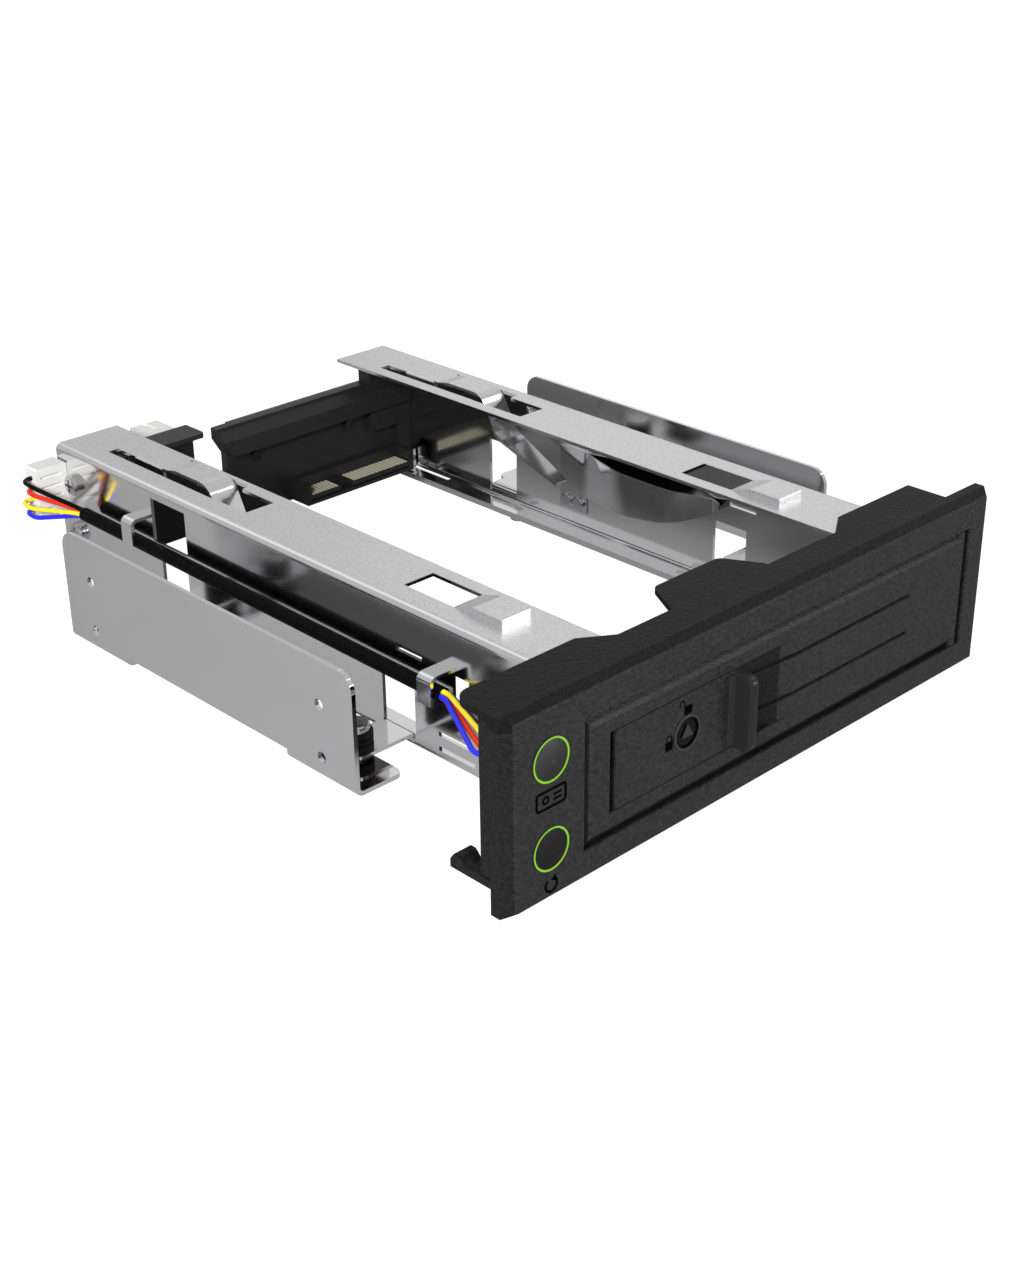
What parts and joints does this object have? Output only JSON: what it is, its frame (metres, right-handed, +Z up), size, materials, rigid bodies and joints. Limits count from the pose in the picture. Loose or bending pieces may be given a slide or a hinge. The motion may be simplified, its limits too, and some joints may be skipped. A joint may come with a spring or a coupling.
{
  "type": "hot swap drive cage",
  "caption": "Half height bay cage for one drive, with a hinged front door, pull lever with lock, sprung side channels, damped side brackets, rear receptacle and ejector.",
  "frame": {"origin": "middle of the footprint, at the bottom edge of the bezel", "axes": "+X to the right as seen from the front, +Y to the rear of the bay, +Z up"},
  "size_m": [0.1484, 0.1864, 0.0419],
  "materials": {
    "charcoal_plastic": "fine leather grain",
    "black_plastic": "smooth satin",
    "green_light_guide": "clear, lit green",
    "green_board": "solder mask",
    "white_plastic": "natural nylon",
    "sheet_steel": "fine rolled grain",
    "spring_steel": "bright",
    "bright_steel": "bright plated",
    "gilt_contact": "gold plated",
    "black_rubber": "matt",
    "black_sleeve": "shrunk tube",
    "black_wire": "satin",
    "red_wire": "satin",
    "yellow_wire": "satin",
    "blue_wire": "satin"
  },
  "bodies": {
    "cage": {"bezel_frame": "charcoal_plastic", "upper_light_ring": "green_light_guide", "lower_light_ring": "green_light_guide", "button_board": "green_board", "button_switches": "black_plastic", "button_board_screws": "bright_steel", "door_hinge_pins": "bright_steel", "left_channel": "sheet_steel", "right_channel": "sheet_steel", "left_side_spring": "spring_steel", "right_side_spring": "spring_steel", "side_spring_rivets": "bright_steel", "left_mount_bracket": "sheet_steel", "right_mount_bracket": "sheet_steel", "damper_grommets": "black_rubber", "damper_posts": "bright_steel", "rear_bracket": "black_plastic", "backplane_board": "green_board", "backplane_screws": "bright_steel", "drive_receptacle": "black_plastic", "receptacle_contacts": "gilt_contact", "rear_data_port": "black_plastic", "rear_power_port": "black_plastic", "port_contacts": "gilt_contact", "rear_cable_header": "white_plastic", "cable_header_pins": "gilt_contact", "harness_header": "white_plastic", "harness_header_pins": "gilt_contact", "harness_connector": "white_plastic", "harness_sleeve": "black_sleeve", "wire_black": "black_wire", "wire_red": "red_wire", "wire_yellow": "yellow_wire", "wire_blue": "blue_wire", "bracket_screws": "bright_steel", "bezel_screws": "bright_steel", "ejector_rivets": "bright_steel"},
    "door": {"door_panel": "charcoal_plastic", "door_bumpers": "black_rubber", "lever_pivot_pins": "bright_steel"},
    "lever": {"latch_lever": "charcoal_plastic"},
    "lock": {"lock_cylinder": "black_plastic", "lock_cam": "bright_steel", "cam_screw": "bright_steel"},
    "upper_push": {"upper_button": "black_plastic"},
    "lower_push": {"lower_button": "black_plastic"},
    "ejector": {"ejector_slider": "sheet_steel"}
  },
  "joints": [
    {"name": "door_swing", "type": "hinge", "parent": "cage", "child": "door", "pos_m": [0.06425, -0.0862, 0.02085], "axis": [0, 0, 1], "range_deg": [0, 100]},
    {"name": "lever_pull", "type": "hinge", "parent": "door", "child": "lever", "pos_m": [-0.0446, -0.0863, 0.021], "axis": [0, 0, -1], "range_deg": [0, 30]},
    {"name": "lock_turn", "type": "hinge", "parent": "lever", "child": "lock", "pos_m": [-0.0264, -0.0864, 0.0211], "axis": [0, -1, 0], "range_deg": [0, 90]},
    {"name": "upper_button_press", "type": "slide", "parent": "cage", "child": "upper_push", "axis": [0, 1, 0], "range_m": [0, 0.0012], "stiffness_N_per_m": 800},
    {"name": "lower_button_press", "type": "slide", "parent": "cage", "child": "lower_push", "axis": [0, 1, 0], "range_m": [0, 0.0012], "stiffness_N_per_m": 800},
    {"name": "ejector_slide", "type": "slide", "parent": "cage", "child": "ejector", "axis": [0, -1, 0], "range_m": [0, 0.0138]}
  ],
  "couplings": [
    {"joint": "ejector_slide", "follows": "door_swing", "m_per_rad": 0.007895}
  ]
}
